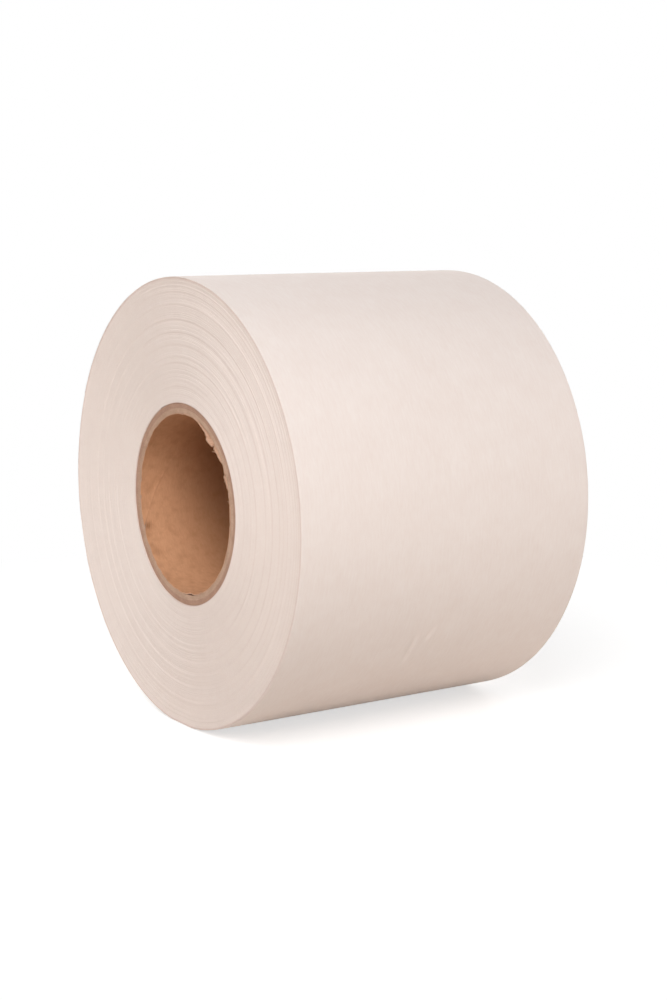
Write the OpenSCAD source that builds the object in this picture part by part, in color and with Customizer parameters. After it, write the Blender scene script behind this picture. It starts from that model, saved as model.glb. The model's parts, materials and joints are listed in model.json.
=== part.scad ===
// Roll of plain off-white paper wound on a spiral board core, lying on its side.
// X runs along the core, Y points to the back and Z is up.
// The origin is on the floor, under the middle of the roll.

/* [Paper] */
// Outside diameter of the roll
roll_d = 190; // [170:1:260]
// Width of the paper, along the core
paper_w = 143; // [100:1:300]
// Thickness of one drawn turn of the outer sheet
sheet_t = 0.9; // [0.8:0.05:1.2]
// Air between one drawn turn and the next
turn_gap = 0.45; // [0.42:0.01:0.7]
// Outer turns drawn as one free sheet over the packed turns
outer_turns = 3; // [2:1:6]
// Depth of the flat that the weight of the roll presses where it rests
rest_flat_depth = 0.5; // [0.3:0.05:0.6]

/* [Ends of the roll] */
// How far the packed turns sit in from the ends of the outer turns
dish_depth = 2; // [0.5:0.1:4]
// Radial width of the slope up to the outer turns
dish_slope_w = 8; // [3:0.5:12]
// Turns of the spiral line between bundles of packed turns
line_turns = 4; // [2:1:6]
// Width of the spiral line at the surface
line_w = 0.9; // [0.5:0.1:1.5]
// Depth of the spiral line
line_depth = 0.8; // [0.4:0.1:1.5]
// Smooth band around the core, inside the spiral line
line_core_margin = 14; // [4:0.5:15]
// Smooth band between the spiral line and the slope
line_slope_margin = 3; // [2:0.5:5]

/* [Core] */
// Bore of the core, for a shaft or chuck
core_bore_d = 76.2; // [50:0.1:80]
// How far each end of the core sits in from the ends of the paper
core_recess = 2.4; // [2:0.1:6]
// Thickness of the smooth kraft ply that lines the bore
liner_ply_t = 0.4; // [0.3:0.05:0.8]
// Thickness of each board ply in the body of the core
body_ply_t = 0.65; // [0.4:0.05:1]
// Number of board plies
body_ply_count = 6; // [4:1:8]
// Thickness of the ply around the outside of the core
outer_ply_t = 0.3; // [0.2:0.05:0.8]
// Gap where the edges of the slanted liner strip meet
seam_w = 0.4; // [0.2:0.05:0.8]
// Length of core that the liner strip takes for one turn
seam_lead = 113; // [100:1:240]
// Place of the liner's seam at the middle of the core, from the front over the top
seam_angle = 343; // [0:1:359]

/* [Start tape] */
// Length of the tape that holds the first turn, around the core
start_tape_l = 25; // [15:1:50]
// Thickness of that tape
start_tape_t = 0.2; // [0.1:0.05:0.4]
// Place of its middle around the core, from the front over the top
start_tape_angle = 250; // [0:5:355]

/* [Tail] */
// Place where the free tail bends away, from the front over the top
tail_root_angle = 115; // [95:1:130]
// Length of the free tail
tail_l = 66; // [45:1:90]
// Air between the root of the tail and the sheet that it continues
tail_clear = 0.35; // [0.3:0.05:0.6]
// Width of the tape that closes the tail, along the core
tail_tape_w = 48; // [24:1:75]
// Length of that tape on the tail, and again on the turn below
tail_tape_half_l = 18; // [10:1:24]
// Thickness of that tape
tail_tape_t = 0.3; // [0.2:0.05:0.4]
// Air between the tape and the turn below
tail_tape_clear = 0.3; // [0.3:0.05:0.4]

/* [Hidden] */
$fn = 128;
cut_over = 1;
seam_slices = 36;
seam_sides = 4;
gap_samples = 36;
paper_color = "#efe2d8";
kraft_color = "#b98459";
board_color = "#a98d79";
glue_color = "#e8dcc0";
tape_color = "#e3cfa2";

ply_ts = concat([liner_ply_t], [for (i = [1:body_ply_count]) body_ply_t], [outer_ply_t]);
core_l = paper_w - 2 * core_recess;
core_bore_r = core_bore_d / 2;
core_r = ply_bore_r(len(ply_ts));

// The outer sheet is a spiral of half turns about two centres, set half a pitch apart.
// The two half turns of its last full turn are as wide across as the roll.
pitch = sheet_t + turn_gap;
last_half_turn = 2 * outer_turns;
sheet_r0 = roll_d / 2 - sheet_t - (outer_turns - 3 / 4) * pitch;

// The half turn that rests on the floor also runs on under the tail.
rest_half_turn = last_half_turn - 2;
rest_r = half_turn_r(rest_half_turn) + sheet_t;
rest_bottom = centre_x(pitch, rest_half_turn) * sin(tail_root_angle) - rest_r;
axis_h = -rest_bottom - rest_flat_depth;

dish_rim_r = sheet_r0 - pitch - turn_gap;
dish_floor_r = dish_rim_r - dish_slope_w;
line_r0 = core_r + line_core_margin;
line_pitch = (dish_floor_r - line_slope_margin - line_r0) / (line_turns + 1 / 2);

tail_mid_r = half_turn_r(last_half_turn) + sheet_t / 2;
tail_outer_r = half_turn_r(last_half_turn) + sheet_t;
tail_root_turn = asin((sheet_t / 2 + tail_clear) / tail_mid_r);
tail_edge_turn = tail_root_turn + arc_angle(tail_l, tail_mid_r);

// Angle that an arc of a given length takes
function arc_angle(l, r) = l / r * 180 / PI;

// Inside radius of a ply, counted outwards from the liner
function ply_bore_r(i) = i == 0 ? core_bore_r : ply_bore_r(i - 1) + ply_ts[i - 1];

// Centre of a half turn of a spiral, along the line that the half turns meet on
function centre_x(spiral_pitch, k) = (k % 2 == 0 ? -1 : 1) * spiral_pitch / 4;

// Inside radius of a half turn of the outer sheet
function half_turn_r(k) = sheet_r0 + k * pitch / 2;

// Point on a face of the outer sheet, part of the way along half turn k
function sheet_point(k, part, rise) =
    let (a = 180 * (k + part), r = half_turn_r(k) + rise)
    [centre_x(pitch, k) + r * cos(a), r * sin(a)];

// Least distance from the outside of each turn to the inside of any part of the turn over it
function least_turn_gap() =
    let (parts = [for (i = [0:gap_samples - 1]) (i + 1 / 2) / gap_samples])
    min([for (k = [0:last_half_turn - 3], p = parts, q = parts)
        norm(sheet_point(k, p, sheet_t) - sheet_point(k + 2, q, 0))]);

echo(least_turn_gap = least_turn_gap());
echo(roll_axis_height = axis_h, core_outside_radius = core_r, core_length = core_l);
echo(tail_hinge = tail_hinge());

// Place of the tail's bend line in Y and Z
function tail_hinge() =
    let (a = tail_root_angle + tail_root_turn, c = centre_x(pitch, last_half_turn))
    [
        -c * cos(tail_root_angle) - tail_mid_r * cos(a),
        axis_h + c * sin(tail_root_angle) + tail_mid_r * sin(a)
    ];

// Lays the roll down: the drawn axis runs along X, and angles run from the front over the top.
module lay_down() {
    translate([0, 0, axis_h]) rotate([90, 0, -90]) children();
}

// Part of a ring about the roll's axis, from one angle to another, centred along the roll
module ring_part(r, t, w, from, to) {
    rotate(from) rotate_extrude(angle = to - from) translate([r, -w / 2]) square([t, w]);
}

module half_turn(spiral_pitch, k) {
    translate([centre_x(spiral_pitch, k), 0, 0]) rotate(180 * (k % 2)) children();
}

module core_ply(i) {
    r = ply_bore_r(i);
    difference() {
        cylinder(r = r + ply_ts[i], h = core_l, center = true);
        cylinder(r = r, h = core_l + 2 * cut_over, center = true);
    }
}

// Open seam of the liner, a right-hand helix where the edges of the slanted strip meet
module liner_seam() {
    seam_l = core_l + 2 * cut_over;
    seam_twist = -360 * seam_l / seam_lead;
    rotate(seam_angle + seam_twist / 2) linear_extrude(
        height = seam_l, twist = seam_twist, slices = seam_slices, segments = seam_sides, center = true
    )
        translate([core_bore_r - cut_over, -seam_w / 2]) square([liner_ply_t + 2 * cut_over, seam_w]);
}

module core_liner_ply() {
    color(kraft_color) lay_down() difference() {
        core_ply(0);
        liner_seam();
    }
}

module core_body_ply(i) {
    color(board_color) lay_down() core_ply(i);
}

module core_outer_ply() {
    color(board_color) lay_down() core_ply(body_ply_count + 1);
}

module start_tape_form() {
    half_angle = arc_angle(start_tape_l, core_r) / 2;
    ring_part(core_r, start_tape_t, core_l, start_tape_angle - half_angle, start_tape_angle + half_angle);
}

module start_tape() {
    color(glue_color) lay_down() start_tape_form();
}

// The packed turns: two half rounds, with a step where the outer sheet leaves them
module packed_turns() {
    for (k = [-2, -1])
        half_turn(pitch, k + 2) ring_part(0, half_turn_r(k) + sheet_t, paper_w, 0, 180);
}

module outer_sheet() {
    for (k = [0:last_half_turn - 1])
        half_turn(pitch, k) ring_part(half_turn_r(k), sheet_t, paper_w, 0, 180);
}

// Dished end: a flat floor around the core and a slope up to the outer turns
module end_dish() {
    top = paper_w / 2 + cut_over;
    rotate_extrude() polygon([
        [0, paper_w / 2 - dish_depth], [dish_floor_r, paper_w / 2 - dish_depth],
        [dish_rim_r, paper_w / 2], [dish_rim_r, top], [0, top]
    ]);
}

// One unbroken line that winds out over the floor of the dish
module spiral_line() {
    for (k = [0:2 * line_turns - 1])
        half_turn(line_pitch, k) rotate_extrude(angle = 180)
            translate([line_r0 + (k + 1 / 2) * line_pitch / 2, paper_w / 2 - dish_depth]) polygon([
                [-line_w / 2, 0], [0, -line_depth], [line_w / 2, 0],
                [line_w / 2, cut_over], [-line_w / 2, cut_over]
            ]);
}

module floor_block() {
    translate([-roll_d, -axis_h - roll_d, -paper_w]) cube([2 * roll_d, roll_d, 2 * paper_w]);
}

module wound_paper() {
    color(paper_color) lay_down() difference() {
        rotate(tail_root_angle) {
            packed_turns();
            outer_sheet();
        }
        cylinder(r = core_r, h = paper_w + 2 * cut_over, center = true);
        start_tape_form();
        floor_block();
        rotate(tail_root_angle) for (side = [0, 1]) mirror([0, 0, side]) {
            end_dish();
            spiral_line();
        }
    }
}

// Draws about the centre of the tail's own half turn
module on_tail() {
    lay_down() rotate(tail_root_angle) half_turn(pitch, last_half_turn) children();
}

module paper_tail() {
    color(paper_color) on_tail() {
        ring_part(half_turn_r(last_half_turn), sheet_t, paper_w, tail_root_turn, tail_edge_turn);
        rotate(tail_root_turn) translate([tail_mid_r, 0, 0])
            cylinder(d = sheet_t, h = paper_w, center = true);
    }
}

// Closing tape: on the tail, down over its edge and on along the turn below
module tail_tape() {
    low_r = rest_r + tail_tape_clear;
    high_r = tail_outer_r + tail_tape_t;
    half_angle = arc_angle(tail_tape_half_l, tail_outer_r);
    step_end = tail_edge_turn + arc_angle(tail_tape_t, tail_outer_r);
    color(tape_color) on_tail() {
        ring_part(tail_outer_r, tail_tape_t, tail_tape_w, tail_edge_turn - half_angle, step_end);
        ring_part(low_r, high_r - low_r, tail_tape_w, tail_edge_turn, step_end);
        ring_part(low_r, tail_tape_t, tail_tape_w, tail_edge_turn, tail_edge_turn + half_angle);
    }
}

core_liner_ply();
for (i = [1:body_ply_count])
    core_body_ply(i);
core_outer_ply();
start_tape();
wound_paper();
paper_tail();
tail_tape();
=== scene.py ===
import json
import math

import bpy
import numpy as np
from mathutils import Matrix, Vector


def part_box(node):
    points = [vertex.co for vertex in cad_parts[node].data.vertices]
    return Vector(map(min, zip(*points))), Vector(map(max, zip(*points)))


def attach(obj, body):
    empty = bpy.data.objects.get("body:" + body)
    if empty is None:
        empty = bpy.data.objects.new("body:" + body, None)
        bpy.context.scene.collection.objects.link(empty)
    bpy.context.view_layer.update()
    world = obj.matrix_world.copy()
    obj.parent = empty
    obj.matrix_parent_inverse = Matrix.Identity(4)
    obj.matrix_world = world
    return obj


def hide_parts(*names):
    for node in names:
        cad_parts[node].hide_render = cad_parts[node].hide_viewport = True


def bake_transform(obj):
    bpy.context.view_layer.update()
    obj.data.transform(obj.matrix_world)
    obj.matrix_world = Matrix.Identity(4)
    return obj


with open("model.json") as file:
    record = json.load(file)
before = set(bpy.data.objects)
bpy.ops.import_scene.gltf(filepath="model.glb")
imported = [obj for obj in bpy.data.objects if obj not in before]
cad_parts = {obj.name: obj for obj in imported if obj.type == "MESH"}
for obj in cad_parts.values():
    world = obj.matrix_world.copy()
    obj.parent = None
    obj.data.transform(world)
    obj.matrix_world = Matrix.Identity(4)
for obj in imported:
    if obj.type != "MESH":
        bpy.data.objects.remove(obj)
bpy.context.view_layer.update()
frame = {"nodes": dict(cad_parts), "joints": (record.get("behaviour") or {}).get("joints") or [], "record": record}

mm = 0.001
deg = math.pi / 180

# The real sizes, read from the frame. Angles run from the front of the roll over its top.
boreMount = next(m for m in frame["record"]["mounts"] if m["name"] == "core_bore")
peelJoint = next(j for j in frame["joints"] if j["name"] == "tail_peel")
paperLow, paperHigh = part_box("wound_paper")
coreLow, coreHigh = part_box("core_outer_ply")
axisZ = boreMount["pos_m"][2]
boreR = boreMount["dims"]["r_mm"] * mm
halfW = paperHigh.x
rollR = (paperHigh.y - paperLow.y) / 2
coreR = (coreHigh.y - coreLow.y) / 2
coreHalfL = coreHigh.x
rootTurn = math.atan2(peelJoint["pos_m"][2] - axisZ, -peelJoint["pos_m"][1])


# Camera: the place and lens that put the rim, the core and the outline where the photograph has them

view = {
    "standpoint": (-437.5 * mm, -661.9 * mm, 216.2 * mm),
    "azimuth": -33.86,
    "elevation": 9.02,
    "focalPx": 1825,
    "imageHeightPx": 1000,
    "sensor": 36,
}
camera = bpy.data.objects.new("camera", bpy.data.cameras.new("camera"))
bpy.context.scene.collection.objects.link(camera)
camera.location = view["standpoint"]
camera.rotation_euler = ((90 - view["elevation"]) * deg, 0, view["azimuth"] * deg)
camera.data.sensor_width = view["sensor"]
camera.data.lens = view["focalPx"] / view["imageHeightPx"] * view["sensor"]
bpy.context.scene.camera = camera
print("camera set, lens", round(camera.data.lens, 1), "mm")


# Small helpers

def linear(code):
    # sRGB hex to the linear colour that shaders take
    parts = [int(code[i:i + 2], 16) / 255 for i in (1, 3, 5)]
    return tuple(c / 12.92 if c <= 0.04045 else ((c + 0.055) / 1.055) ** 2.4 for c in parts) + (1.0,)


def addNode(tree, kind, settings=None, inputs=None):
    # Adds a node, sets its properties, and sets or links its inputs
    node = tree.nodes.new(kind)
    for key, value in (settings or {}).items():
        setattr(node, key, value)
    for key, value in (inputs or {}).items():
        if isinstance(value, bpy.types.NodeSocket):
            tree.links.new(value, node.inputs[key])
        else:
            node.inputs[key].default_value = value
    return node


def newMaterial(name):
    material = bpy.data.materials.new(name)
    material.use_nodes = True
    tree = material.node_tree
    return material, tree, tree.nodes["Principled BSDF"]


def smooth(low, high, value):
    # Rises gently from 0 at low to 1 at high
    t = np.clip((value - low) / (high - low), 0, 1)
    return t * t * (3 - 2 * t)


def wander(rng, count, loop=False):
    # A smooth random curve through count values, as a function of a place from 0 to count
    values = rng.normal(0, 1, count + 1)
    if loop:
        values[count] = values[0]

    def at(place):
        place = np.mod(place, count) if loop else np.clip(place, 0, count - 1e-6)
        low = np.floor(place).astype(int)
        t = smooth(0, 1, place - low)
        return values[low] * (1 - t) + values[low + 1] * t

    return at


def quads(a, b, c, d):
    return np.stack([a, b, c, d], axis=-1).reshape(-1, 4)


def gridQuads(ids):
    # Faces between neighbouring points of a grid of point numbers
    return quads(ids[:-1, :-1], ids[1:, :-1], ids[1:, 1:], ids[:-1, 1:])


def makePiece(name, points, faceSets, materials):
    # A smooth mesh from points and one set of four-sided faces for each material
    mesh = bpy.data.meshes.new(name)
    faces = np.concatenate(faceSets)
    mesh.vertices.add(len(points))
    mesh.vertices.foreach_set("co", np.asarray(points, np.float32).ravel())
    mesh.loops.add(faces.size)
    mesh.loops.foreach_set("vertex_index", faces.ravel().astype(np.int32))
    mesh.polygons.add(len(faces))
    mesh.polygons.foreach_set("loop_start", np.arange(0, faces.size, 4, dtype=np.int32))
    for material in materials:
        mesh.materials.append(material)
    slots = np.concatenate([np.full(len(f), i, np.int32) for i, f in enumerate(faceSets)])
    mesh.polygons.foreach_set("material_index", slots)
    mesh.polygons.foreach_set("use_smooth", np.ones(len(faces), bool))
    mesh.update(calc_edges=True)
    mesh.validate()
    piece = bpy.data.objects.new(name, mesh)
    bpy.context.scene.collection.objects.link(piece)
    return piece


def keepEdgesSharp(piece, angle):
    # Edges that fold more than the angle stay crisp under smooth shading
    piece.data.set_sharp_from_angle(angle=angle * deg)


def pointValues(piece, name, values):
    # One number at each point, which a material reads by its name
    layer = piece.data.attributes.new(name, "FLOAT", "POINT")
    everyPoint = np.broadcast_to(values, len(piece.data.vertices))
    layer.data.foreach_set("value", everyPoint.astype(np.float32))


def turnsFrom(turn, middle):
    # How far round a place lies from a middle angle, whichever way is shorter
    return np.abs(np.mod(turn - middle + math.pi, 2 * math.pi) - math.pi)


# Materials

def finishMaterial(tree, shader, tint, bump, look):
    # Colour and relief come from nodes; what is the same all over is set on the shader itself
    tree.links.new(tint.outputs["Result"], shader.inputs["Base Color"])
    tree.links.new(bump.outputs["Normal"], shader.inputs["Normal"])
    shader.inputs["Roughness"].default_value = look["roughness"]
    shader.inputs["IOR"].default_value = look["ior"]


def makeUncoatedPaper():
    # Uncoated off-white paper, machine finished: dead matt, with soft clouds where the fibres lie
    # thicker, faint streaks along the web and a fine felt-like grain
    look = {
        "thick": "#f2e7e1", "thin": "#eddfd8", "cloud": 11 * mm,
        "streakWide": 0.8 * mm, "streakLong": 5 * mm, "streakTint": 1.5, "streakRelief": 0.8,
        "grain": 0.8 * mm, "grainHigh": 0.02 * mm, "roughness": 0.88, "ior": 1.45,
    }
    material, tree, shader = newMaterial("uncoatedPaper")
    place = addNode(tree, "ShaderNodeTexCoord").outputs["Object"]
    clouds = addNode(tree, "ShaderNodeTexNoise", {},
                     {"Vector": place, "Scale": 1 / look["cloud"], "Detail": 4, "Roughness": 0.55})
    streakSize = (look["streakWide"], look["streakLong"], look["streakLong"])
    along = addNode(tree, "ShaderNodeMapping", {"vector_type": "TEXTURE"},
                    {"Vector": place, "Scale": streakSize})
    streaks = addNode(tree, "ShaderNodeTexNoise", {},
                      {"Vector": along.outputs["Vector"], "Scale": 1, "Detail": 3, "Roughness": 0.6})
    both = addNode(tree, "ShaderNodeMath", {"operation": "MULTIPLY_ADD"},
                   {0: streaks.outputs["Fac"], 1: look["streakTint"], 2: clouds.outputs["Fac"]})
    ramp = addNode(tree, "ShaderNodeMapRange", {},
                   {"Value": both.outputs[0], "From Min": 0.75, "From Max": 1.75})
    tint = addNode(tree, "ShaderNodeMix", {"data_type": "RGBA"},
                   {"Factor": ramp.outputs["Result"],
                    "A": linear(look["thin"]), "B": linear(look["thick"])})
    # The felt grain is finer in the real sheet; it is drawn this coarse so that it shows
    grain = addNode(tree, "ShaderNodeTexNoise", {},
                    {"Vector": place, "Scale": 1 / look["grain"], "Detail": 3, "Roughness": 0.65})
    relief = addNode(tree, "ShaderNodeMath", {"operation": "MULTIPLY_ADD"},
                     {0: streaks.outputs["Fac"], 1: look["streakRelief"], 2: grain.outputs["Fac"]})
    bump = addNode(tree, "ShaderNodeBump", {},
                   {"Height": relief.outputs[0], "Strength": 0.5, "Distance": look["grainHigh"]})
    finishMaterial(tree, shader, tint, bump, look)
    return material


def makeSlitEdge():
    # The same paper seen on its knife-cut edge: pale open crowns, with a darker line of shade and
    # dust between the turns and a soft fuzz of cut fibres, drawn coarser than it is so that it shows
    look = {
        "crown": "#f9eee7", "groove": "#e3cdc4",
        "fuzz": 0.7 * mm, "fuzzHigh": 0.06 * mm, "fuzzTint": 0.7,
        "mottle": 7 * mm, "mottleTint": 0.4, "roughness": 0.92, "ior": 1.45,
    }
    material, tree, shader = newMaterial("slitPaperEdge")
    place = addNode(tree, "ShaderNodeTexCoord").outputs["Object"]
    shade = addNode(tree, "ShaderNodeAttribute", {"attribute_name": "turnShade"})
    mottle = addNode(tree, "ShaderNodeTexNoise", {},
                     {"Vector": place, "Scale": 1 / look["mottle"], "Detail": 3, "Roughness": 0.6})
    fuzz = addNode(tree, "ShaderNodeTexNoise", {},
                   {"Vector": place, "Scale": 1 / look["fuzz"], "Detail": 4, "Roughness": 0.7})
    uneven = addNode(tree, "ShaderNodeMath", {"operation": "MULTIPLY_ADD"},
                     {0: mottle.outputs["Fac"], 1: look["mottleTint"], 2: shade.outputs["Fac"]})
    speck = addNode(tree, "ShaderNodeMath", {"operation": "MULTIPLY_ADD"},
                    {0: fuzz.outputs["Fac"], 1: look["fuzzTint"], 2: uneven.outputs[0]})
    ramp = addNode(tree, "ShaderNodeMapRange", {},
                   {"Value": speck.outputs[0], "From Min": -0.4, "From Max": 1.6})
    tint = addNode(tree, "ShaderNodeMix", {"data_type": "RGBA"},
                   {"Factor": ramp.outputs["Result"],
                    "A": linear(look["groove"]), "B": linear(look["crown"])})
    bump = addNode(tree, "ShaderNodeBump", {},
                   {"Height": fuzz.outputs["Fac"], "Strength": 0.8, "Distance": look["fuzzHigh"]})
    finishMaterial(tree, shader, tint, bump, look)
    return material


def makeKraft():
    # Unbleached kraft paper, glued down under tension: smooth and brown, with long flat fibres,
    # a slight sheen and darker cloudy patches where the glue soaked through
    look = {
        "light": "#daa57f", "dark": "#d09b75", "stain": "#b8855f", "soilAndShade": "#80522f", "cloud": 4 * mm,
        "fibreWide": 0.6 * mm, "fibreLong": 2.5 * mm, "fibreHigh": 0.015 * mm,
        "roughness": 0.8, "ior": 1.47, "specular": 0.2,
    }
    material, tree, shader = newMaterial("kraftPaper")
    place = addNode(tree, "ShaderNodeTexCoord").outputs["Object"]
    fibreSize = (look["fibreWide"], look["fibreLong"], look["fibreLong"])
    along = addNode(tree, "ShaderNodeMapping", {"vector_type": "TEXTURE"},
                    {"Vector": place, "Scale": fibreSize})
    fibres = addNode(tree, "ShaderNodeTexNoise", {},
                     {"Vector": along.outputs["Vector"], "Scale": 1, "Detail": 4, "Roughness": 0.6})
    clouds = addNode(tree, "ShaderNodeTexNoise", {},
                     {"Vector": place, "Scale": 1 / look["cloud"], "Detail": 4, "Roughness": 0.6})
    ramp = addNode(tree, "ShaderNodeMapRange", {},
                   {"Value": fibres.outputs["Fac"], "From Min": 0.3, "From Max": 0.7})
    brown = addNode(tree, "ShaderNodeMix", {"data_type": "RGBA"},
                    {"Factor": ramp.outputs["Result"],
                     "A": linear(look["dark"]), "B": linear(look["light"])})
    soak = addNode(tree, "ShaderNodeMapRange", {},
                   {"Value": clouds.outputs["Fac"], "From Min": 0.45, "From Max": 0.9, "To Max": 0.8})
    soaked = addNode(tree, "ShaderNodeMix", {"data_type": "RGBA"},
                     {"Factor": soak.outputs["Result"],
                      "A": brown.outputs["Result"], "B": linear(look["stain"])})
    # Painted shade deeper in the bore and over its top, and dirt spots, mix towards the soil colour by this
    # attribute
    soilAndShade = addNode(tree, "ShaderNodeAttribute", {"attribute_name": "soilAndShade"})
    tint = addNode(tree, "ShaderNodeMix", {"data_type": "RGBA"},
                   {"Factor": soilAndShade.outputs["Fac"],
                    "A": soaked.outputs["Result"], "B": linear(look["soilAndShade"])})
    bump = addNode(tree, "ShaderNodeBump", {},
                   {"Height": fibres.outputs["Fac"], "Strength": 0.5, "Distance": look["fibreHigh"]})
    finishMaterial(tree, shader, tint, bump, look)
    shader.inputs["Specular IOR Level"].default_value = look["specular"]
    return material


def makeBoard(name, light, dark):
    # Recycled core board with a sawn edge: grey-brown, open and hairy, speckled with mixed fibres,
    # and rubbed dark with handling where it is soiled; on the liner's torn edges it also carries painted shade
    look = {
        "soilAndShade": "#7a4f33", "speck": 0.5 * mm, "patch": 4 * mm, "patchTint": 0.7, "sawHigh": 0.05 * mm,
        "roughness": 0.9, "ior": 1.47,
    }
    material, tree, shader = newMaterial(name)
    place = addNode(tree, "ShaderNodeTexCoord").outputs["Object"]
    specks = addNode(tree, "ShaderNodeTexNoise", {},
                     {"Vector": place, "Scale": 1 / look["speck"], "Detail": 3, "Roughness": 0.7})
    patches = addNode(tree, "ShaderNodeTexNoise", {},
                      {"Vector": place, "Scale": 1 / look["patch"], "Detail": 3, "Roughness": 0.6})
    both = addNode(tree, "ShaderNodeMath", {"operation": "MULTIPLY_ADD"},
                   {0: patches.outputs["Fac"], 1: look["patchTint"], 2: specks.outputs["Fac"]})
    ramp = addNode(tree, "ShaderNodeMapRange", {},
                   {"Value": both.outputs[0], "From Min": 0.6, "From Max": 1.1})
    clean = addNode(tree, "ShaderNodeMix", {"data_type": "RGBA"},
                    {"Factor": ramp.outputs["Result"], "A": linear(dark), "B": linear(light)})
    soilAndShade = addNode(tree, "ShaderNodeAttribute", {"attribute_name": "soilAndShade"})
    tint = addNode(tree, "ShaderNodeMix", {"data_type": "RGBA"},
                   {"Factor": soilAndShade.outputs["Fac"],
                    "A": clean.outputs["Result"], "B": linear(look["soilAndShade"])})
    bump = addNode(tree, "ShaderNodeBump", {},
                   {"Height": specks.outputs["Fac"], "Strength": 0.7, "Distance": look["sawHigh"]})
    finishMaterial(tree, shader, tint, bump, look)
    return material


def makeMaskingTape(name, light, dark):
    # Creped masking tape: thin tan paper in fine cross ridges, with a faint waxy sheen
    look = {
        "ridge": 0.9 * mm, "ridgeHigh": 0.04 * mm, "ridgeTint": 0.5, "patch": 6 * mm,
        "roughness": 0.6, "ior": 1.48,
    }
    wavePitch = math.pi / 10    # of the wave texture at scale 1
    material, tree, shader = newMaterial(name)
    place = addNode(tree, "ShaderNodeTexCoord").outputs["Object"]
    ridges = addNode(tree, "ShaderNodeTexWave", {"bands_direction": "X"},
                     {"Vector": place, "Scale": wavePitch / look["ridge"],
                      "Distortion": 3.5, "Detail": 3, "Detail Scale": 1.5})
    patches = addNode(tree, "ShaderNodeTexNoise", {},
                      {"Vector": place, "Scale": 1 / look["patch"], "Detail": 3, "Roughness": 0.6})
    both = addNode(tree, "ShaderNodeMath", {"operation": "MULTIPLY_ADD"},
                   {0: ridges.outputs["Fac"], 1: look["ridgeTint"], 2: patches.outputs["Fac"]})
    ramp = addNode(tree, "ShaderNodeMapRange", {},
                   {"Value": both.outputs[0], "From Min": 0.4, "From Max": 1.1})
    tint = addNode(tree, "ShaderNodeMix", {"data_type": "RGBA"},
                   {"Factor": ramp.outputs["Result"], "A": linear(dark), "B": linear(light)})
    bump = addNode(tree, "ShaderNodeBump", {},
                   {"Height": ridges.outputs["Fac"], "Strength": 0.8, "Distance": look["ridgeHigh"]})
    finishMaterial(tree, shader, tint, bump, look)
    return material


uncoatedPaper = makeUncoatedPaper()
slitPaperEdge = makeSlitEdge()
kraftPaper = makeKraft()
coreBoard = makeBoard("recycledBoard", "#c4a08a", "#a98471")
innerBoard = makeBoard("recycledBoardPale", "#d0af99", "#b6947c")
tornKraft = makeBoard("tornKraftFibre", "#d6ae94", "#c2977c")
maskingTape = makeMaskingTape("crepedMaskingTape", "#ead6b2", "#dcc297")
startTape = makeMaskingTape("doubleSidedTape", "#efe6cd", "#e2d6b6")
print("materials made")


# Wound paper: one spiral from the core out to the tail

paper = {
    "turns": 190,              # turns drawn; the real sheet is a little thinner, with more of them
    "steps": 120,              # points around one turn
    "sheetT": 0.22 * mm,
    "climbFrom": 0.97,         # the first turn lies on the core and climbs at its end
    "grooveDepth": 0.048 * mm,  # between the edges of two turns
    "lineStep": 0.2 * mm,      # drop at a strong line between bundles
    "lineWide": 0.5 * mm,
    "lineFade": 4 * mm,        # inside a line the turns rise again over this width
    "lineKeep": 0.6,           # share of the drop that stays
    "lineDark": 0.6,           # shade at the foot of a drop, where the bundles gape
    "gapeTurn": 15 * deg,      # they gape most at the front
    "gapePower": 3,            # how quickly that fades to the sides
    "backWider": 0.3,          # at the back a drop is this much wider
    "backPower": 2,
    "farLines": 14,            # lines on the far end, placed at random
    "farStart": 2,             # from the core, in mm
    "farGap": (1.8, 5.2),      # between one and the next, in mm
    "farStrength": (0.2, 1.0),
    "scatter": 0.012 * mm,     # how unevenly single turns lie at the ends
    "bundleScatter": 0.024 * mm,
    "bundleTurns": 5.2,        # and small bundles of turns
    "bandHigh": 0.012 * mm,    # short stretches of a few turns that stand a little proud
    "bandWide": 0.45 * mm,
    "bandLong": 15 * deg,
    "unevenFront": 2.2,        # all three are stronger at the front than at the back
    "unevenBack": 1.0,
    "dishDepth": 0.75 * mm,    # slope down from the rim, before the drops between bundles
    "dishPower": 1.6,          # how suddenly it rises to the rim
    "dishInside": 76 * mm,
    "dishOutside": 94.5 * mm,
    "coreDip": 0.2 * mm,       # how much lower the turns next to the core lie
    "coreDipWide": 14 * mm,
    "coreDark": 1.6,           # shade in the gap between the core and the first turn
    "coreDarkWide": 0.6 * mm,
    "rimDark": 1.3,            # and under the outer turn
    "rimDarkWide": 1.1 * mm,
    "pressDepth": 14 * mm,     # how deep the flat under the roll can be felt
    "seed": 7,
}
turnPitch = (rollR - coreR - paper["sheetT"]) / (paper["turns"] + 1 / 2)
restFlat = rollR - axisZ

# Lines between bundles of turns on the end in the photograph: radius in mm, and how strong.
# At each one the turns inside it sit a step lower, and come back up towards the next line.
nearLines = [
    (46.2, 0.2), (49.7, 0.5), (52.3, 0.2), (55.3, 0.5), (57.4, 0.15), (59.3, 1.0), (63.0, 0.2),
    (66.8, 0.9), (69.3, 0.2), (71.8, 1.0), (74.4, 0.15), (77.2, 1.0), (80.4, 0.5), (83.6, 0.6),
    (86.2, 0.35), (88.6, 0.6), (90.6, 0.6), (92.2, 0.7), (93.6, 0.8),
]


def turnR(turns):
    # Radius of the sheet's inner side after so many turns
    return coreR + turnPitch * turns


def rollPoints(x, r, turn):
    # Points from places along the roll, radii and angles, pressed flat where the roll rests
    x, r, turn = np.broadcast_arrays(x, r, turn)
    press = restFlat * np.clip(1 - (rollR - r) / paper["pressDepth"], 0, 1)
    z = np.maximum(axisZ + r * np.sin(turn), axisZ - r + press)
    return np.stack([x, -r * np.cos(turn), np.maximum(z, 0)], axis=-1)


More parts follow.
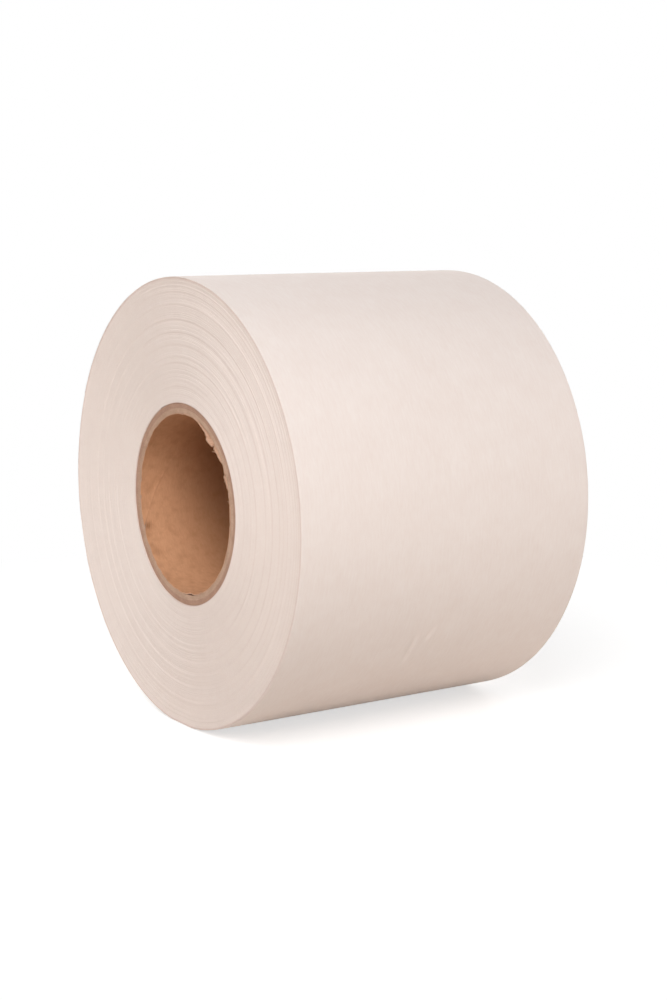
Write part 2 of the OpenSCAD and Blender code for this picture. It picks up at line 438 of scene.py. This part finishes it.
def bands(rng, r, turn):
    # A smooth random height for each place on the end, long around the roll and narrow across it
    cols = round(2 * math.pi / paper["bandLong"])
    rows = math.ceil((rollR - coreR) / paper["bandWide"]) + 3
    values = rng.normal(0, 1, (rows, cols))
    row = np.clip((r - coreR) / paper["bandWide"] + 1, 0, rows - 1.001)
    col = np.mod(turn / (2 * math.pi), 1) * cols
    i, j = np.floor(row).astype(int), np.floor(col).astype(int)
    u, v = smooth(0, 1, row - i), smooth(0, 1, col - j)
    near = values[i, j % cols] * (1 - v) + values[i, (j + 1) % cols] * v
    far = values[i + 1, j % cols] * (1 - v) + values[i + 1, (j + 1) % cols] * v
    return near * (1 - u) + far * u


def endDepth(turns, angle, lines, rng):
    # Along the spiral: how far in the edge of the sheet lies, and how dark it is
    r = turnR(turns)
    rise = np.clip((r - paper["dishInside"]) / (paper["dishOutside"] - paper["dishInside"]), 0, 1)
    depth = paper["dishDepth"] * (1 - rise ** paper["dishPower"])
    depth += paper["coreDip"] * (1 - smooth(coreR, coreR + paper["coreDipWide"], r))
    dark = paper["coreDark"] * (1 - smooth(coreR, coreR + paper["coreDarkWide"], r))
    rimR = rollR - paper["sheetT"]
    dark += paper["rimDark"] * smooth(rimR - paper["rimDarkWide"], rimR, r)
    front = (1 + np.cos(angle - paper["gapeTurn"])) / 2
    gape = front ** paper["gapePower"]
    back = (1 - front) ** paper["backPower"]
    wide = paper["lineWide"] * (1 + paper["backWider"] * back)
    for lineR, strength in lines:
        away = r - lineR * mm
        inside = 1 - smooth(-wide, wide, away)
        left = np.exp(np.minimum(away, 0) / paper["lineFade"])
        kept = paper["lineKeep"] + (1 - paper["lineKeep"]) * left
        depth += paper["lineStep"] * strength * inside * kept
        dark += paper["lineDark"] * strength * gape * np.exp(-(away / wide) ** 2)
    uneven = paper["unevenBack"] + (paper["unevenFront"] - paper["unevenBack"]) * front
    bundles = math.ceil(paper["turns"] / paper["bundleTurns"]) + 1
    single = paper["scatter"] * wander(rng, paper["turns"] + 2)(turns)
    several = paper["bundleScatter"] * wander(rng, bundles)(turns / paper["bundleTurns"])
    depth += uneven * (single + several + paper["bandHigh"] * bands(rng, r, angle))
    return np.maximum(depth, 0), dark


def makeWoundTurns():
    steps, turns = paper["steps"], paper["turns"]
    rng = np.random.default_rng(paper["seed"])
    farGaps = rng.uniform(*paper["farGap"], paper["farLines"])
    farRadii = coreR / mm + paper["farStart"] + np.cumsum(farGaps)
    farLines = list(zip(farRadii, rng.uniform(*paper["farStrength"], paper["farLines"])))
    count = turns * steps + 1
    along = np.arange(count) / steps
    angle = rootTurn + 2 * math.pi * along
    onCore = np.where(along < 1, smooth(paper["climbFrom"], 1, along), along)
    # Each end has two rows of points along the spiral: the groove between two turns, and the crown
    # half a pitch further out
    crownAlong = along + 1 / 2
    rows, shade = [], []
    for side, lines in ((-1, nearLines), (1, farLines)):
        depth, dark = endDepth(np.concatenate([along, crownAlong]), np.tile(angle, 2), lines, rng)
        x = side * (halfW - depth)
        rows.append(rollPoints(x[:count] - side * paper["grooveDepth"], turnR(onCore), angle))
        rows.append(rollPoints(x[count:], turnR(crownAlong), angle))
        shade += [-dark[:count], 1 - dark[count:]]
    ids = np.arange(4 * count).reshape(4, count)
    nearGroove, nearCrown, farGroove, farCrown = ids
    ends = []
    for groove, crown, flip in ((nearGroove, nearCrown, False), (farGroove, farCrown, True)):
        edge = quads(groove[:-1], crown[:-1], crown[1:], groove[1:])
        between = quads(crown[:-1 - steps], groove[steps:-1], groove[1 + steps:], crown[1:-steps])
        both = np.concatenate([edge, between])
        ends.append(both[:, ::-1] if flip else both)
    # The side on the core, the side under the outer turn, and the sheet's first and last edges
    stop = count - 1
    first, firstNext = slice(0, steps), slice(1, steps + 1)
    last, lastNext = slice(stop - steps, stop), slice(stop - steps + 1, count)
    inside = quads(nearGroove[first], nearGroove[firstNext], farGroove[firstNext], farGroove[first])
    outside = quads(nearCrown[last], farCrown[last], farCrown[lastNext], nearCrown[lastNext])
    sheetEnds = np.array([
        [nearGroove[0], farGroove[0], farCrown[0], nearCrown[0]],
        [nearCrown[0], farCrown[0], farGroove[steps], nearGroove[steps]],
        [nearCrown[stop - steps], nearGroove[stop], farGroove[stop], farCrown[stop - steps]],
        [nearGroove[stop], nearCrown[stop], farCrown[stop], farGroove[stop]],
    ])
    piece = makePiece("woundTurns", np.concatenate(rows),
                      [np.concatenate(ends), np.concatenate([inside, outside, sheetEnds])],
                      [slitPaperEdge, uncoatedPaper])
    keepEdgesSharp(piece, angle=20)
    pointValues(piece, "turnShade", np.concatenate(shade))
    return piece


woundTurns = makeWoundTurns()
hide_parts("wound_paper")
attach(woundTurns, "roll")
print("wound turns:", len(woundTurns.data.polygons), "faces, pitch", round(turnPitch / mm, 3), "mm")


# Outer turn: the sheet that shows around the roll, up to the root of the tail

outer = {
    "stepsAround": 400, "stepsAcross": 116,
    "trySteps": 2000,                   # steps that the places across are picked from
    "edgeFine": 6, "creaseFine": 4,     # how much closer the points lie at the edges and the creases
    "edgeDrop": 0.12 * mm, "edgeWide": 0.9 * mm,    # the slit edges turn down a little
    "edgeWave": 0.12 * mm, "edgeWaves": (40, 9),    # and wander in and out, finely and broadly
    "edgeShade": 0.0,                   # as deep as a groove, where a crown is 1
    "swell": 0.035 * mm, "swells": 24, "swellTaper": 2,     # slack: the middle rises, the edges dip
    "creaseWide": 1.2 * mm, "creaseHigh": 0.4 * mm,
    "creaseReach": 4,                   # widths beside a crease that get closer points
    "creaseStart": (-0.15, 0.3), "creaseStop": (0.7, 1.15),     # it fades in and out, by its length
    "ridgeHigh": 0.5, "ridgeAside": 1.4,    # the ridge beside it, as shares of its height and width
    "seed": 11,
}
# Creases low on the front: place along the roll in mm and angle of each end, and how strong
creases = [
    ((-8.2, -41.0), (-7.8, -30.5), 1.0), ((-2.5, -33.0), (0.3, -28.5), 0.8),
    ((7.9, -32.0), (8.5, -27.0), 0.45), ((-41.6, -26.5), (-41.0, -23.0), 0.3),
    ((2.4, -37.5), (4.4, -34.5), 0.35),
]


def creaseLift(x, turn):
    # How far the creases lift the sheet: a sharp valley with a low ridge beside it
    lift = np.zeros(np.broadcast(x, turn).shape)
    px, py = x / mm, turn * rollR / mm
    for (xa, ta), (xb, tb), strength in creases:
        ya, yb = ta * deg * rollR / mm, tb * deg * rollR / mm
        length = math.hypot(xb - xa, yb - ya)
        ux, uy = (xb - xa) / length, (yb - ya) / length
        share = ((px - xa) * ux + (py - ya) * uy) / length
        aside = ((px - xa) * uy - (py - ya) * ux) / (outer["creaseWide"] / mm)
        fade = smooth(*outer["creaseStart"], share) * (1 - smooth(*outer["creaseStop"], share))
        ridge = outer["ridgeHigh"] * np.exp(-(aside - outer["ridgeAside"]) ** 2)
        lift += strength * fade * (ridge - np.exp(-aside ** 2))
    return lift * outer["creaseHigh"]


def sheetShell(outerPts, innerPts):
    # A closed thin sheet between two grids of points, with rows along the roll and columns around it:
    # faces of its two sides, and faces of its edges
    rows, cols = outerPts.shape[:2]
    top = np.arange(rows * cols).reshape(rows, cols)
    under = top + rows * cols
    sides = np.concatenate([gridQuads(top), gridQuads(under)[:, ::-1]])
    edgePairs = [
        (top[:, 0], under[:, 0]), (under[:, -1], top[:, -1]), (under[0], top[0]), (top[-1], under[-1]),
    ]
    edges = [quads(a[:-1], b[:-1], b[1:], a[1:]) for a, b in edgePairs]
    points = np.concatenate([outerPts.reshape(-1, 3), innerPts.reshape(-1, 3)])
    return points, sides, np.concatenate(edges)


def edgeShape(x):
    # The sheet's slit edges turn down a little over the turns below
    return outer["edgeDrop"] * np.exp(-(halfW - np.abs(x)) / outer["edgeWide"])


def placesAcross():
    # Places across the sheet from -1 to 1, closer together at its edges and where it is creased
    x = np.linspace(-1, 1, outer["trySteps"] + 1)
    close = 1 + outer["edgeFine"] * np.exp((np.abs(x) - 1) * halfW / (2 * outer["edgeWide"]))
    for start, stop, _ in creases:
        middle = (start[0] + stop[0]) / 2 * mm
        near = np.abs(x * halfW - middle) < outer["creaseReach"] * outer["creaseWide"]
        close = np.where(near, np.maximum(close, outer["creaseFine"]), close)
    share = np.cumsum(close) - close[0]
    return np.interp(np.linspace(0, share[-1], outer["stepsAcross"] + 1), share, x)


def makeOuterTurn():
    rng = np.random.default_rng(outer["seed"])
    around = np.linspace(0, 1, outer["stepsAround"] + 1)[None, :]
    across = placesAcross()[:, None]
    turns = paper["turns"] + around
    angle = rootTurn + 2 * math.pi * around
    fine, broad = [wander(rng, count)(around * count) for count in outer["edgeWaves"]]
    x = across * (halfW - np.abs(outer["edgeWave"] * (fine + broad) / 2))
    slack = wander(rng, outer["swells"])(around * outer["swells"])
    swell = outer["swell"] * slack * np.cos(across * outer["swellTaper"])
    signedTurn = np.mod(angle + math.pi, 2 * math.pi) - math.pi
    r = turnR(turns) + paper["sheetT"] + swell - edgeShape(x) + creaseLift(x, signedTurn)
    outside = rollPoints(x, r, angle)
    inside = rollPoints(x, r - paper["sheetT"], angle)
    points, sides, edges = sheetShell(outside, inside)
    piece = makePiece("outerTurn", points, [sides, edges], [uncoatedPaper, slitPaperEdge])
    keepEdgesSharp(piece, angle=50)
    pointValues(piece, "turnShade", outer["edgeShade"])
    return piece


outerTurn = makeOuterTurn()
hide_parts("wound_paper")
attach(outerTurn, "roll")
print("outer turn:", len(outerTurn.data.polygons), "faces")


# Core: a kraft liner wound on the slant with an open seam, six board plies and a thin outer one

core = {
    "steps": 240, "innerPlies": 3,          # the plies next to the liner are paler
    "plyUneven": 0.1 * mm, "plyBumps": 70, "bumpShare": 0.4,
    "plyRound": 0.1 * mm, "plyFlat": (0.3, 0.7),        # where its end is flat, by its thickness
    "linerRows": 70, "linerSteps": 600,
    "seamLead": 113 * mm, "seamTurn": 343 * deg, "seamWide": 0.25 * mm,
    "seamFlare": 1.1 * mm,                  # the seam opens at the near end
    "seamLip": 0.12 * mm, "seamLipWide": 2.2 * mm,      # one edge of it stands up
    "flapLong": 3 * mm,                     # how far in the torn end is bent
    "flapThicker": 0.05,                    # share of the bend that the back of the liner lags behind
    "fray": 0.3 * mm, "teeth": 300, "edgeUneven": 0.12 * mm, "edgeBumps": 120,
    "endWave": 0.3 * mm, "endWaves": 90,
    "strandR": 0.16 * mm, "strandCurl": 0.35 * mm, "strandInset": 0.05 * mm, "strandSteps": 7,
    "brownTurn": 185 * deg, "brownHalf": 50 * deg, "brownFade": 15 * deg, "brownShare": 0.1,
    # Painted shade in the bore: it darkens from the first to the second distance in from an end
    "insideShadeFrom": 6 * mm, "insideShadeTo": 42 * mm, "insideShade": 0.63,
    "topShade": 0.3, "topFrom": 0.1, "topTo": 0.9,       # painted shade over the top of the bore; heights over the axis, by the radius
    "seed": 23,
}
# How far the torn near end of the liner hangs into the bore: angle in degrees, reach in mm
tornReach = [
    (-12, 0), (4, 0.25), (9, 0.5), (13, 1.1), (25, 1.0), (28, 0.4), (34, 0.25), (40, 1.1), (46, 1.4),
    (49, 2.0), (52, 2.9), (55, 3.3), (58, 2.0), (62, 1.0), (72, 0),
]
# Where the near end of the liner stands off the board: angle and half width in degrees, height in mm
pockets = [(277, 4.2, 0.65), (204, 2.6, 0.4), (141, 2.6, 0.4)]
# Dark spots by the near end of the liner: angle, distance from the end and size in mm, how dark. The first and
# darkest, at the near end of the seam, is painted shade in a nick; the others are stains.
spots = [
    (202, 2.0, 1.3, 0.8), (208, 1.2, 1.1, 0.3), (215.5, 1.4, 1.4, 0.25), (221.5, 2.9, 1.7, 0.35),
    (232, 1.5, 1.4, 0.25), (241, 2.1, 1.6, 0.3), (246, 0.8, 1.2, 0.35),
]
# Loose fibres on the torn edge: angle and radius in mm where each starts and ends
strands = [
    ((40, 37.6), (45.5, 35.0)), ((24, 37.6), (22, 36.3)),
    ((8, 37.7), (9.5, 36.8)), ((62, 37.9), (59, 36.2)),
]
plyNodes = ["core_body_ply_%d" % i for i in range(1, 7)] + ["core_outer_ply"]


def nodeR(node):
    low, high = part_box(node)
    return (high.y - low.y) / 2


def ringPoints(x, r, turn):
    # Points from places along the core, radii and angles
    x, r, turn = np.broadcast_arrays(x, r, turn)
    return np.stack([x, -r * np.cos(turn), axisZ + r * np.sin(turn)], axis=-1)


def standOff(turn):
    # Small places where the near end of the liner has come away from the board
    high = np.zeros(np.shape(turn))
    for middle, half, top in pockets:
        high = high + top * mm * np.exp(-(turnsFrom(turn, middle * deg) / (half * deg)) ** 2)
    return high


def faceShadeAndSoil(x, turn):
    # Painted shade darkens the liner deeper into the bore and over its top, and dirt lies in spots by the near end
    soilAndShade = core["insideShade"] * smooth(core["insideShadeFrom"], core["insideShadeTo"], coreHalfL - np.abs(x))
    soilAndShade = soilAndShade + core["topShade"] * smooth(core["topFrom"], core["topTo"], np.sin(turn))
    for middle, inside, size, dark in spots:
        along = (x + coreHalfL) / mm - inside
        around = turnsFrom(turn, middle * deg) * boreR / mm
        soilAndShade = soilAndShade + dark * np.exp(-(along ** 2 + around ** 2) / size ** 2)
    return np.clip(soilAndShade, 0, 1)


def brownSoil(turn):
    # The torn edge is pale, and rubbed a little brown at the back
    away = turnsFrom(turn, core["brownTurn"])
    near, far = core["brownHalf"] - core["brownFade"], core["brownHalf"] + core["brownFade"]
    return core["brownShare"] * (1 - smooth(near, far, away))


def makePly(name, inR, outR, board, rng):
    # A tube of board whose sawn ends are a little uneven and rounded, so that the plies show as rings
    turn = np.linspace(0, 2 * math.pi, core["steps"] + 1)[:-1]
    # Across the end of the ply: share of its thickness, and drop
    flatFrom, flatTo = core["plyFlat"]
    profile = [(0, core["plyRound"]), (flatFrom, 0), (flatTo, 0), (1, core["plyRound"])]
    count = core["plyBumps"]
    rings = []
    for side in (-1, 1):
        bumps = wander(rng, count, True)(turn / (2 * math.pi) * count)
        ends = np.abs(core["plyUneven"] * (rng.uniform(-1, 1) + core["bumpShare"] * bumps))
        for part, drop in profile[::-side]:
            rings.append(ringPoints(side * (coreHalfL - ends - drop), inR + part * (outR - inR), turn))
    ids = np.arange(len(rings) * core["steps"]).reshape(len(rings), core["steps"])
    ids = np.concatenate([ids, ids[:1]])
    ids = np.concatenate([ids, ids[:, :1]], axis=1)
    piece = makePiece(name, np.concatenate(rings), [gridQuads(ids)], [board])
    keepEdgesSharp(piece, angle=60)
    if board is innerBoard:
        pointValues(piece, "soilAndShade", np.tile(brownSoil(turn), len(rings)))
    return piece


def burr(turn, rng):
    # How far the near end of the liner is torn and bent inwards, with frayed teeth
    turn = np.mod(turn + math.pi, 2 * math.pi) - math.pi
    angles, reach = np.transpose(tornReach)
    flap = np.interp(turn / deg, angles, reach) * mm
    place = (turn + math.pi) / (2 * math.pi)
    teeth = wander(rng, core["teeth"], True)(place * core["teeth"])
    teeth = core["fray"] * teeth * np.minimum(flap / mm, 1)
    uneven = wander(rng, core["edgeBumps"], True)(place * core["edgeBumps"])
    return np.maximum(flap + teeth, 0) + core["edgeUneven"] * np.abs(uneven) + standOff(turn)


def strandTube(path):
    # A closed four-sided thread along a few points
    tilt = np.array([[1, 1], [-1, 1], [-1, -1], [1, -1]]) * core["strandR"] / math.sqrt(2)
    side = np.gradient(path, axis=0)
    side /= np.linalg.norm(side, axis=1)[:, None]
    across = np.cross(side, (1.0, 0.0, 0.0))
    rings = path[:, None] + tilt[:, :1] * np.array([1.0, 0, 0]) + tilt[:, 1:] * across[:, None]
    ids = np.arange(len(path) * 4).reshape(-1, 4)
    round4 = np.concatenate([ids, ids[:, :1]], axis=1)
    return rings.reshape(-1, 3), np.concatenate([gridQuads(round4), ids[:1], ids[-1:, ::-1]])


def makeLiner(rng):
    # A strip on the slant from one edge of the seam round to the other, with rows closer at its ends
    outR = nodeR("core_liner_ply")
    along = np.sin(np.linspace(-math.pi / 2, math.pi / 2, core["linerRows"] + 1))[:, None]
    around = np.linspace(0, 1, core["linerSteps"] + 1)[None, :]
    x = along * coreHalfL
    toEnd = 1 - smooth(-coreHalfL, -coreHalfL + core["flapLong"], x)
    gap = (core["seamWide"] + core["seamFlare"] * toEnd ** 2) / boreR
    seam = core["seamTurn"] - 2 * math.pi * x / core["seamLead"]
    turn = seam + gap / 2 + around * (2 * math.pi - gap)
    fromLip = (1 - around) * 2 * math.pi * boreR
    inward = burr(turn, rng) * toEnd
    inward = inward + core["seamLip"] * np.exp(-fromLip / core["seamLipWide"])
    waves = wander(rng, core["endWaves"], True)(around * core["endWaves"])
    x = np.maximum(x + core["endWave"] * toEnd * waves, -coreHalfL)
    outside = ringPoints(x, outR - inward * (1 - core["flapThicker"]), turn)
    inside = ringPoints(x, boreR - inward, turn)
    points, sides, edges = sheetShell(outside, inside)
    back, face = np.split(sides, 2)
    # The back of the liner carries the brown wear, its face painted shade and dirt spots, and the torn edges a
    # blend of both
    soilAndShade = [brownSoil(turn).ravel(), faceShadeAndSoil(x, turn).ravel()]
    torn = [back, edges]
    share = np.linspace(0, 1, core["strandSteps"] + 1)
    curl = core["strandCurl"] * np.sin(math.pi * share)
    for (startTurn, startR), (stopTurn, stopR) in strands:
        strandX = core["strandInset"] - coreHalfL + curl
        strandR = (startR + (stopR - startR) * share) * mm + curl
        strandTurn = (startTurn + (stopTurn - startTurn) * share) * deg
        tubePoints, tubeFaces = strandTube(ringPoints(strandX, strandR, strandTurn))
        torn.append(tubeFaces + len(points))
        points = np.concatenate([points, tubePoints])
        soilAndShade.append(np.zeros(len(tubePoints)))
    piece = makePiece("coreLiner", points, [face, np.concatenate(torn)], [kraftPaper, tornKraft])
    keepEdgesSharp(piece, angle=50)
    pointValues(piece, "soilAndShade", np.concatenate(soilAndShade))
    return piece


coreRng = np.random.default_rng(core["seed"])
coreLiner = makeLiner(coreRng)
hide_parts("core_liner_ply")
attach(coreLiner, "roll")
plyR = nodeR("core_liner_ply")
for number, node in enumerate(plyNodes, 1):
    inR, plyR = plyR, nodeR(node)
    board = innerBoard if number <= core["innerPlies"] else coreBoard
    ply = makePly("corePly%d" % number, inR, plyR, board, coreRng)
    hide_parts(node)
    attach(ply, "roll")
print("core: liner and", len(plyNodes), "board plies")


# Start tape under the first turn keeps its solid
frame["nodes"]["start_tape"].data.materials.clear()
frame["nodes"]["start_tape"].data.materials.append(startTape)


# Tail: the last stretch of the sheet, from its root

tail = {
    "length": 66 * mm, "stepsAlong": 66, "stepsAcross": 72,
    "endT": 0.2 * mm, "thinning": (0.1, 0.9),       # it thins out along these shares of its length
    "bendLength": 24 * mm,
    "cornerLift": 1.4 * mm,                         # only the far corner curls,
    "cornerAlong": 0.55, "cornerAcross": 0.5,       # from these shares of the length and half the width
    "edgeLift": 0.5 * mm, "edgeAlong": 0.75,        # the end gapes beside the tape
    "heldHalf": 25 * mm, "freeHalf": 42 * mm,
}
tailStart = paper["turns"] + 1
tailR = turnR(tailStart) + paper["sheetT"]
tailTurn = tail["length"] / tailR


def makeTail():
    along = np.linspace(0, 1, tail["stepsAlong"] + 1)[None, :]
    across = np.sin(np.linspace(-math.pi / 2, math.pi / 2, tail["stepsAcross"] + 1))[:, None]
    x = across * halfW
    angle = rootTurn + along * tailTurn
    untaped = smooth(tail["heldHalf"], tail["freeHalf"], np.abs(x))
    free = untaped * (1 - smooth(tail["freeHalf"], halfW, -x))      # the near corner lies down again
    curl = smooth(tail["cornerAlong"], 1, along) * smooth(tail["cornerAcross"], 1, across)
    lift = tail["cornerLift"] * curl + tail["edgeLift"] * smooth(tail["edgeAlong"], 1, along) * free
    thick = paper["sheetT"] + (tail["endT"] - paper["sheetT"]) * smooth(*tail["thinning"], along)
    r = turnR(tailStart + along * tailTurn / (2 * math.pi)) - edgeShape(x) + lift
    points, sides, edges = sheetShell(rollPoints(x, r + thick, angle), rollPoints(x, r, angle))
    piece = makePiece("paperTail", points, [sides, edges], [uncoatedPaper, slitPaperEdge])
    keepEdgesSharp(piece, angle=50)
    pointValues(piece, "turnShade", outer["edgeShade"])
    return piece


paperTail = makeTail()
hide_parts("paper_tail")
bendTurn = rootTurn + tail["bendLength"] / tailR
tuple(rollPoints(0, tailR, rootTurn))
tuple(rollPoints(0, tailR, bendTurn))
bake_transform(paperTail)
print("tail:", round(tail["length"] / mm), "mm long")


# Tail tape: a strip of masking tape, half on the tail and half on the turn below

tape = {
    "wide": 48 * mm, "half": 18 * mm, "thick": 0.14 * mm, "stepsAlong": 72, "stepsAcross": 120,
    "tooth": 1.6 * mm, "toothDeep": 0.8 * mm, "toothFrom": 0.9,     # its ends were torn on a saw edge
    "stepWide": 1.2 * mm, "clear": 0.03 * mm,       # where it steps down off the tail, and its glue
}


def makeTailTape():
    across = np.linspace(-0.5, 0.5, tape["stepsAcross"] + 1)[:, None]
    along = np.linspace(-1, 1, tape["stepsAlong"] + 1)[None, :]
    x = across * tape["wide"]
    saw = np.abs(np.mod(x / tape["tooth"], 1) - 0.5) * 2 * tape["toothDeep"]
    arc = along * (tape["half"] - saw * smooth(tape["toothFrom"], 1, np.abs(along)))
    angle = rootTurn + tailTurn + arc / tailR
    onTail = turnR(tailStart + (angle - rootTurn) / (2 * math.pi)) + tail["endT"]
    onTurn = onTail - tail["endT"] - turnPitch + paper["sheetT"]
    r = onTail + (onTurn - onTail) * smooth(0, tape["stepWide"], arc) + tape["clear"]
    points, sides, edges = sheetShell(rollPoints(x, r + tape["thick"], angle), rollPoints(x, r, angle))
    piece = makePiece("tailTape", points, [np.concatenate([sides, edges])], [maskingTape])
    keepEdgesSharp(piece, angle=50)
    return piece


tailTape = makeTailTape()
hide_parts("tail_tape")
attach(tailTape, "tail")
print("tail tape made")


# Floor and light

studio = {
    # name, azimuth, elevation, size in metres, power in watts
    "softboxes": [
        ("keySoftbox", -46, 38, 0.9, 19.3), ("endSoftbox", -75, 50, 0.9, 2.6),
        ("frontSoftbox", 0, 10, 0.9, 5.6), ("backSoftbox", 168, 22, 0.9, 11.0),
        ("farSoftbox", 112, 28, 0.9, 8.0),
    ],
    "softboxDistance": 1.6,
    "fillColour": "#fff7ee", "fillFront": 0.01, "fillBack": 0.04, "fillTurn": 0.6,
    "floorRadius": 3.0, "floorSides": 96, "floorDrop": 0.05 * mm,
    "floorAlbedo": "#e8e0d8", "floorSeen": "#c8c8c8", "floorGlow": 0.62,
    "shadowIn": 0.16, "shadowOut": 0.38,        # the shadow is kept inside, and fades to white outside
}


def backgroundRays(tree):
    # 1 for the rays that show the background: straight, in a gloss or through something clear
    path = addNode(tree, "ShaderNodeLightPath")
    direct = addNode(tree, "ShaderNodeMath", {"operation": "MAXIMUM"},
                     {0: path.outputs["Is Camera Ray"], 1: path.outputs["Is Glossy Ray"]})
    both = addNode(tree, "ShaderNodeMath", {"operation": "MAXIMUM"},
                   {0: direct.outputs[0], 1: path.outputs["Is Transmission Ray"]})
    return both.outputs[0]


def makeFloor():
    # A pale seamless floor: white where nothing shades it, and it keeps the soft shadow by the roll
    bpy.ops.mesh.primitive_circle_add(vertices=studio["floorSides"], radius=studio["floorRadius"],
                                      fill_type="NGON", location=(0, 0, -studio["floorDrop"]))
    floor = bpy.context.object
    floor.name = "studioFloor"
    material, tree, shader = newMaterial("paleFloor")
    tree.nodes.remove(shader)
    place = addNode(tree, "ShaderNodeTexCoord").outputs["Object"]
    away = addNode(tree, "ShaderNodeVectorMath", {"operation": "LENGTH"}, {0: place})
    far = addNode(tree, "ShaderNodeMapRange", {"interpolation_type": "SMOOTHSTEP"},
                  {"Value": away.outputs["Value"],
                   "From Min": studio["shadowIn"], "From Max": studio["shadowOut"]})
    matt = addNode(tree, "ShaderNodeBsdfDiffuse", {}, {"Color": linear(studio["floorAlbedo"])})
    pale = addNode(tree, "ShaderNodeBsdfDiffuse", {}, {"Color": linear(studio["floorSeen"])})
    glow = addNode(tree, "ShaderNodeEmission", {}, {"Strength": studio["floorGlow"]})
    white = addNode(tree, "ShaderNodeEmission", {}, {"Strength": 1.0})
    shaded = addNode(tree, "ShaderNodeAddShader", {}, {0: pale.outputs[0], 1: glow.outputs[0]})
    seen = addNode(tree, "ShaderNodeMixShader", {},
                   {0: far.outputs["Result"], 1: shaded.outputs[0], 2: white.outputs[0]})
    mix = addNode(tree, "ShaderNodeMixShader", {},
                  {0: backgroundRays(tree), 1: matt.outputs[0], 2: seen.outputs[0]})
    tree.links.new(mix.outputs[0], tree.nodes["Material Output"].inputs["Surface"])
    floor.data.materials.append(material)


def makeWorld():
    # Soft light, most of it from the front, and white where the camera sees past the floor
    world = bpy.data.worlds.new("softRoom")
    bpy.context.scene.world = world
    world.use_nodes = True
    tree = world.node_tree
    tree.nodes.clear()
    out = addNode(tree, "ShaderNodeOutputWorld")
    place = addNode(tree, "ShaderNodeTexCoord").outputs["Generated"]
    azimuth = view["azimuth"] * deg
    ahead = addNode(tree, "ShaderNodeVectorMath", {"operation": "DOT_PRODUCT"},
                    {0: place, 1: (math.sin(azimuth), -math.cos(azimuth), 0)})
    level = addNode(tree, "ShaderNodeMapRange", {},
                    {"Value": ahead.outputs["Value"],
                     "From Min": -studio["fillTurn"], "From Max": studio["fillTurn"],
                     "To Min": studio["fillBack"], "To Max": studio["fillFront"]})
    room = addNode(tree, "ShaderNodeBackground", {},
                   {"Color": linear(studio["fillColour"]), "Strength": level.outputs["Result"]})
    white = addNode(tree, "ShaderNodeBackground", {}, {"Color": linear("#ffffff"), "Strength": 1.0})
    mix = addNode(tree, "ShaderNodeMixShader", {},
                  {0: backgroundRays(tree), 1: room.outputs[0], 2: white.outputs[0]})
    tree.links.new(mix.outputs[0], out.inputs["Surface"])


def makeSoftbox(name, azimuth, elevation, size, power):
    # Azimuth 0 stands in front of the roll, -90 faces its near end
    light = bpy.data.lights.new(name, "AREA")
    light.size = size
    light.energy = power
    box = bpy.data.objects.new(name, light)
    az, el, away = azimuth * deg, elevation * deg, studio["softboxDistance"]
    box.location = (away * math.sin(az) * math.cos(el), -away * math.cos(az) * math.cos(el),
                    axisZ + away * math.sin(el))
    box.rotation_euler = ((90 - elevation) * deg, 0, az)
    bpy.context.scene.collection.objects.link(box)


makeFloor()
makeWorld()
for softbox in studio["softboxes"]:
    makeSoftbox(*softbox)
bpy.context.scene.view_settings.view_transform = "Standard"
print("floor and light made")
